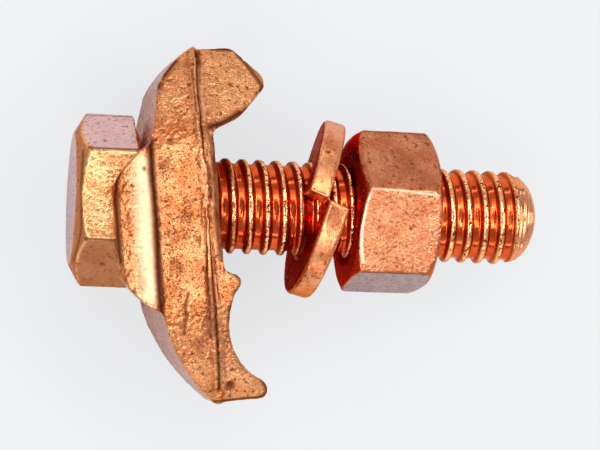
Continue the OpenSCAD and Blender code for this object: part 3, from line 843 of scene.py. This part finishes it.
WASHER_PAINTED_SHEEN = (((0, 1, 0), 0.7, NO_EDGE, 0.4),)
WASHER_PAINTED_SHADE = (((-0.972, 0.235, -0.06), 0.85, NO_EDGE, 0.97),)
NUT_PAINTED_SHEEN = (((0, -0.971, 0.239), 0.93, NO_EDGE, 0.85), ((0, 0.69, 0.72), 0.93, NO_EDGE, 0.6))
NUT_PAINTED_SHADE = (((-1, 0, 0), 0.5, NO_EDGE, 0.85), ((0, 0.69, 0.72), 0.93, NO_EDGE, 0.15))

# Skins: sizes, heights and depths in mm, share of the pits that are there, and the noise's seed
CLAMP_SKIN = {"Swell size": 3.0, "Swell": 0.12, "Grain size": 0.6, "Grain": 0.12,
              "Pit spacing": 1.0, "Pit depth": 0.08, "Pit share": 0.35, "Seed": 1.0}
HEAD_SKIN = {"Swell size": 3.0, "Swell": 0.06, "Grain size": 0.6, "Grain": 0.05,
             "Pit spacing": 0.9, "Pit depth": 0.04, "Pit share": 0.2, "Seed": 2.0}
WASHER_SKIN = {"Swell size": 2.0, "Swell": 0.05, "Grain size": 0.5, "Grain": 0.03,
               "Pit spacing": 0.7, "Pit depth": 0.03, "Pit share": 0.15, "Seed": 3.0}
NUT_SKIN = {"Swell size": 3.0, "Swell": 0.05, "Grain size": 0.5, "Grain": 0.045,
            "Pit spacing": 0.8, "Pit depth": 0.03, "Pit share": 0.1, "Seed": 4.0}

# Tones of the finishes: clouds from low to high, dark grit and painted shade, wear and painted highlight,
# painted sheen, painted light and shade, and edges
CLAMP_TONES = {"low": "#BA693C", "high": "#E29260", "dark": "#4A1C0A", "wear_and_highlight": "#FFD0A6",
               "painted_sheen": "#BCA8AE", "painted_shading": "#FCB680", "edge": "#F4BC88"}
# The head's edge tone is a painted shade along its rounded edges.
HEAD_TONES = {"low": "#DE945E", "high": "#F8B880", "dark": "#5E2E14", "wear_and_highlight": "#FFDCB2",
              "painted_sheen": "#D0B2BE", "painted_shading": "#8C4C36", "edge": "#8A5438"}
WASHER_TONES = {"low": "#DA8254", "high": "#EEA072", "dark": "#5E2810", "wear_and_highlight": "#F8C79C",
                "painted_sheen": "#E0B8A8", "painted_shading": "#A43A20", "edge": "#F8C79C"}
NUT_TONES = {"low": "#C0704A", "high": "#D68C64", "dark": "#4E2210", "wear_and_highlight": "#FFDDBE",
             "painted_sheen": "#907C80", "painted_shading": "#C44A28", "edge": "#C8845E"}

set_camera()
set_stage()
thread_tree = screw_thread_tree()
skin_tree = tumbled_skin_tree()

# Clamp: forged and tumbled, so it is mottled, with the strongest grain and the deepest pits
clamp_finish = tumbled_copper("forged_tumbled_copper", CLAMP_TONES, specks=0.75, rough=0.25,
                              relief=0.27, grain=0.42)
clamp_mesh = softened("clamp_soft", plain_copy("clamp_body"), CLAMP_VOXEL, CLAMP_ROUNDS)
press_marks(clamp_mesh, CLAMP_MARKS)
tint_sides(clamp_mesh, "painted_sheen", CLAMP_PAINTED_SHEEN)
tint_sides(clamp_mesh, "painted_shading", CLAMP_PAINTED_LIGHT)
clamp_mesh = run_tree("clamp_skin", clamp_mesh, skin_tree,
                      {**CLAMP_SKIN, "Edge width": EDGE_ROUNDS, "Material": clamp_finish})
hand_over("forged_clamp", [clamp_mesh], "clamp", "clamp_body")

# Bolt: a cold headed head, paler and smoother than the clamp, and a rolled thread
head_finish = tumbled_copper("cold_headed_copper", HEAD_TONES, specks=0.6, rough=0.28,
                             relief=0.11, grain=0.34, graze="#FFD8D0")
thread_finish = rolled_copper()
head_shape = plain_copy("hex_bolt")
cut = bmesh.ops.bisect_plane(head_shape, plane_co=(UNDER_HEAD + STUB, 0, 0), plane_no=(1, 0, 0),
                             geom=head_shape.verts[:] + head_shape.edges[:] + head_shape.faces[:],
                             clear_outer=True)
rim = [item for item in cut["geom_cut"] if isinstance(item, bmesh.types.BMEdge)]
bmesh.ops.edgenet_fill(head_shape, edges=rim)
head_mesh = softened("head_soft", head_shape, HEAD_VOXEL, HEAD_ROUNDS)
press_marks(head_mesh, HEAD_MARKS)
tint_sides(head_mesh, "painted_sheen", HEAD_PAINTED_SHEEN)
tint_sides(head_mesh, "painted_shading", HEAD_PAINTED_SHADE)
head_mesh = run_tree("head_skin", head_mesh, skin_tree,
                     {**HEAD_SKIN, "Edge width": EDGE_ROUNDS, "Material": head_finish})
blank_mesh = bpy.data.meshes.new("thread_blank")
thread_mesh = run_tree("bolt_thread", blank_mesh, thread_tree, {
    "Start": UNDER_HEAD, "Straight": BOLT_LENGTH - DOME_LENGTH, "Radius": THREAD_R, "Depth": THREAD_DEPTH,
    "Pitch": PITCH, "First crest": FIRST_CREST, "Dome length": DOME_LENGTH, "Dome radius": DOME_R,
    "Run-out": RUN_OUT, "Burr": TEAR_HEIGHT, "Ring": RING_HEIGHT, "Rows": BAR_ROWS, "Columns": BAR_COLUMNS,
    "Material": thread_finish})
hand_over("headed_bolt", [head_mesh, thread_mesh], "bolt", "hex_bolt")

# Lock washer: coiled from drawn wire, so its fine lines run round the ring
washer_finish = tumbled_copper("coiled_bronze_wire", WASHER_TONES, specks=0.7, rough=0.28,
                               relief=0.07, grain=0.22, stretch=0.15, graze="#E05030")
washer_mesh = softened("washer_soft", plain_copy("lock_washer"), WASHER_VOXEL, WASHER_ROUNDS)
tint_sides(washer_mesh, "painted_sheen", WASHER_PAINTED_SHEEN)
tint_sides(washer_mesh, "painted_shading", WASHER_PAINTED_SHADE)
washer_mesh = run_tree("washer_skin", washer_mesh, skin_tree,
                       {**WASHER_SKIN, "Edge width": EDGE_ROUNDS, "Material": washer_finish})
hand_over("spring_washer", [washer_mesh], "washer", "lock_washer")

# Nut: pressed and tumbled, so it has fine pits and a fine grain, and a painted red shade on its inner face
nut_finish = tumbled_copper("pressed_copper_nut", NUT_TONES, specks=0.7, rough=0.27,
                            relief=0.1, grain=0.24, graze="#E05030")
nut_mesh = softened("nut_soft", plain_copy("hex_nut"), NUT_VOXEL, NUT_ROUNDS)
tap_bore(nut_mesh)
press_marks(nut_mesh, NUT_MARKS)
tint_sides(nut_mesh, "painted_sheen", NUT_PAINTED_SHEEN)
tint_sides(nut_mesh, "painted_shading", NUT_PAINTED_SHADE)
nut_mesh = run_tree("nut_skin", nut_mesh, skin_tree,
                    {**NUT_SKIN, "Edge width": EDGE_ROUNDS, "Material": nut_finish})
hand_over("pressed_nut", [nut_mesh], "nut", "hex_nut")
